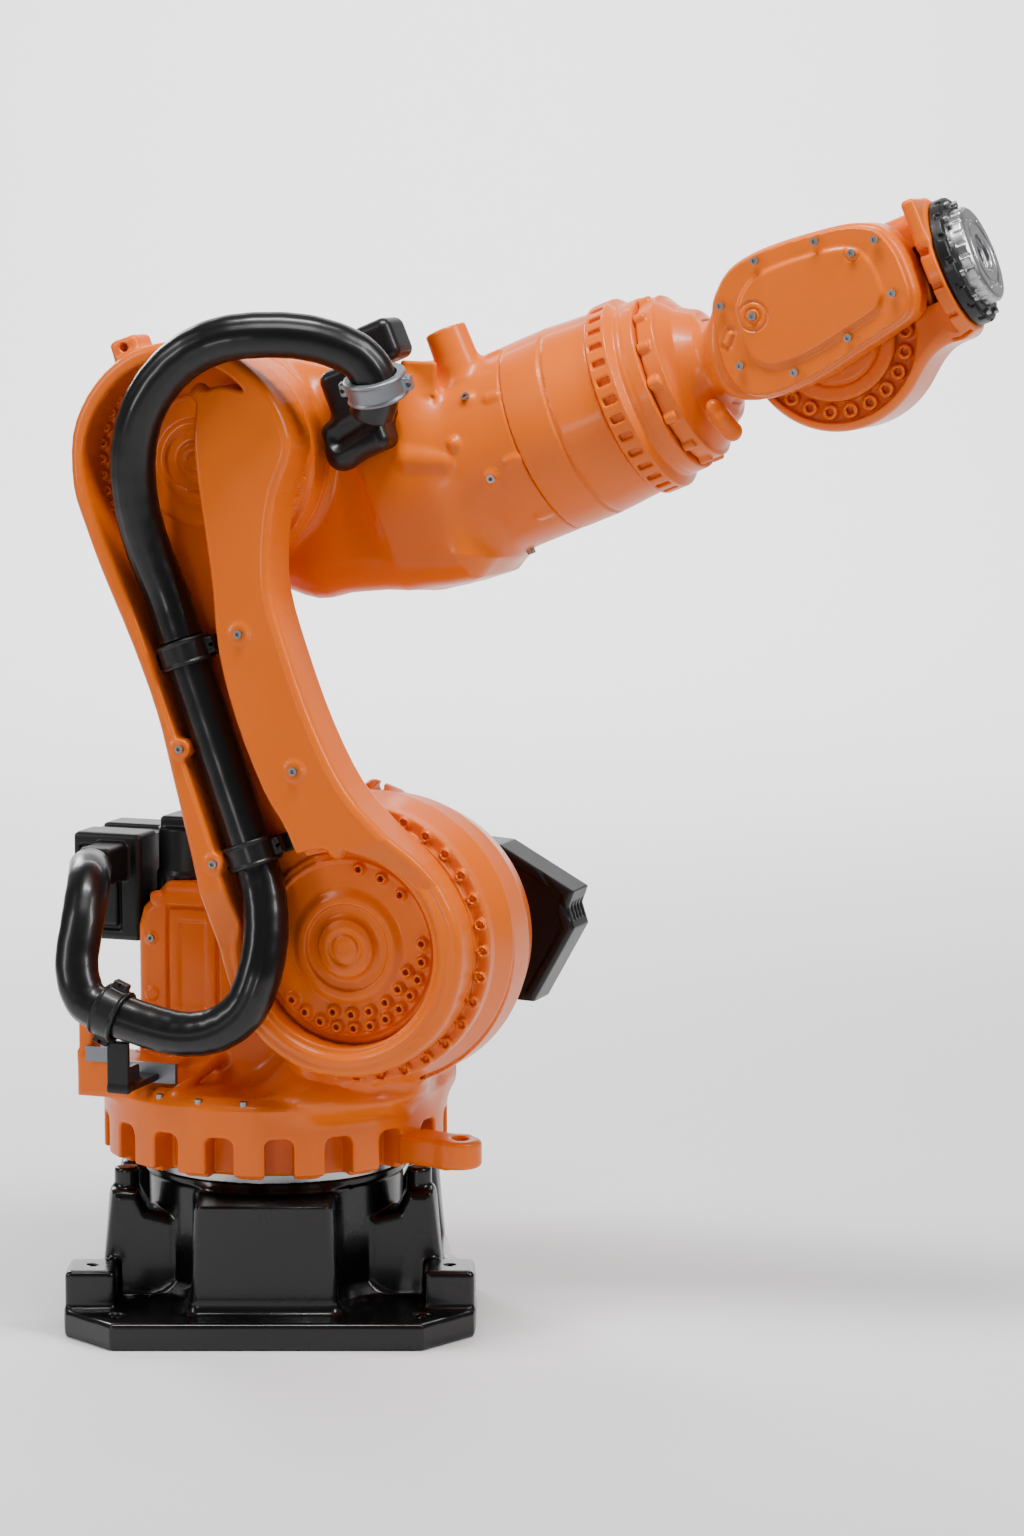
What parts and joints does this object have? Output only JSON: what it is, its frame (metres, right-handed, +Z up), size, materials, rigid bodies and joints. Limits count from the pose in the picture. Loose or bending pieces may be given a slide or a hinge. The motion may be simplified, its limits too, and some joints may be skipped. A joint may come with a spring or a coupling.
{
  "type": "six-axis industrial robot arm",
  "caption": "Heavy six-axis industrial robot arm in orange paint on a black four-footed floor base, with a thick black service hose from column to forearm",
  "frame": {"origin": "on the floor, under the turntable axis", "axes": "+Z up along the turntable axis; +X and +Y square to the foot plate, the service hose side faces -Y"},
  "size_m": [2.4087, 1.3718, 2.9611],
  "materials": {
    "orange_paint": "glossy orange enamel over cast metal",
    "black_paint": "glossy black enamel over cast iron",
    "black_housing": "satin black motor paint",
    "hose_rubber": "smooth black rubber cover",
    "black_plastic": "moulded black plastic",
    "grey_metal": "grey machined metal",
    "screw_steel": "zinc plated steel",
    "bearing_steel": "ground steel"
  },
  "bodies": {
    "root": {"base_casting": "black_paint", "base_bearing_ring": "bearing_steel", "base_gear_unit": "grey_metal", "connector_panel": "black_paint", "base_connectors": "bearing_steel", "base_screws": "screw_steel"},
    "column": {"column_casting": "orange_paint", "turntable_bearing_ring": "bearing_steel", "stop_lug": "orange_paint", "deck_brackets": "grey_metal", "gearbox_cover": "orange_paint", "a1_motor": "black_housing", "supply_box": "black_housing", "a2_gear_housing": "orange_paint", "a2_housing_screws": "orange_paint", "a2_main_bearing": "bearing_steel", "a2_gear_unit": "grey_metal", "a2_motor": "black_housing", "column_hose_clamp": "black_plastic", "column_screws": "screw_steel", "column_hose": "hose_rubber", "shoulder_hose": "hose_rubber"},
    "link_arm": {"link_casting": "orange_paint", "a2_output_hub": "bearing_steel", "a2_hub_cover": "orange_paint", "a3_output_hub": "bearing_steel", "a3_hub_cover": "orange_paint", "link_screws": "screw_steel", "link_hose_clamps": "black_plastic", "link_hose": "hose_rubber", "elbow_hose": "hose_rubber"},
    "forearm": {"shoulder_casting": "orange_paint", "a3_gear_ring": "orange_paint", "a3_main_bearing": "bearing_steel", "a3_motor": "black_housing", "wrist_motors": "black_housing", "wrist_drive_shafts": "bearing_steel", "hose_carrier": "black_plastic", "forearm_hose_clamp": "grey_metal", "cable_stub": "orange_paint", "lifting_eye": "orange_paint", "extension_tube": "orange_paint", "a4_gear_housing": "orange_paint", "a4_main_bearing": "bearing_steel", "forearm_screws": "screw_steel"},
    "wrist": {"wrist_flange": "orange_paint", "wrist_housing": "orange_paint", "wrist_side_cover": "orange_paint", "wrist_screws": "screw_steel", "a5_gear_train": "bearing_steel"},
    "hand": {"hand_housing": "orange_paint", "a5_shaft": "bearing_steel", "a5_gear_cover": "orange_paint", "hand_screws": "screw_steel", "a6_gear_unit": "grey_metal"},
    "flange": {"tool_flange": "bearing_steel", "flange_ring": "black_housing", "flange_screws": "screw_steel"}
  },
  "joints": [
    {"name": "a1_turn", "type": "hinge", "parent": "root", "child": "column", "pos_m": [0, 0, 0.41], "axis": [0, 0, 1], "range_deg": [-165, 205]},
    {"name": "a2_swing", "type": "hinge", "parent": "column", "child": "link_arm", "pos_m": [0.36366, -0.13236, 1.06], "axis": [0.342, 0.9397, 0], "range_deg": [-20, 128], "deforming": ["shoulder_hose"]},
    {"name": "a3_bend", "type": "hinge", "parent": "link_arm", "child": "forearm", "pos_m": [-0.02194, 0.00798, 2.29354], "axis": [-0.342, -0.9397, 0], "range_deg": [-45, 180], "deforming": ["elbow_hose"]},
    {"name": "a4_roll", "type": "hinge", "parent": "forearm", "child": "wrist", "pos_m": [1.04833, -0.38156, 2.49146], "axis": [0.8682, -0.316, 0.3827], "range_deg": [-350, 350]},
    {"name": "a5_tilt", "type": "hinge", "parent": "wrist", "child": "hand", "pos_m": [1.41904, -0.51649, 2.65487], "axis": [0.342, 0.9397, 0], "range_deg": [-118, 118]},
    {"name": "a6_turn", "type": "hinge", "parent": "hand", "child": "flange", "pos_m": [1.73331, -0.63087, 2.7934], "axis": [0.8682, -0.316, 0.3827], "range_deg": [-350, 350]}
  ]
}
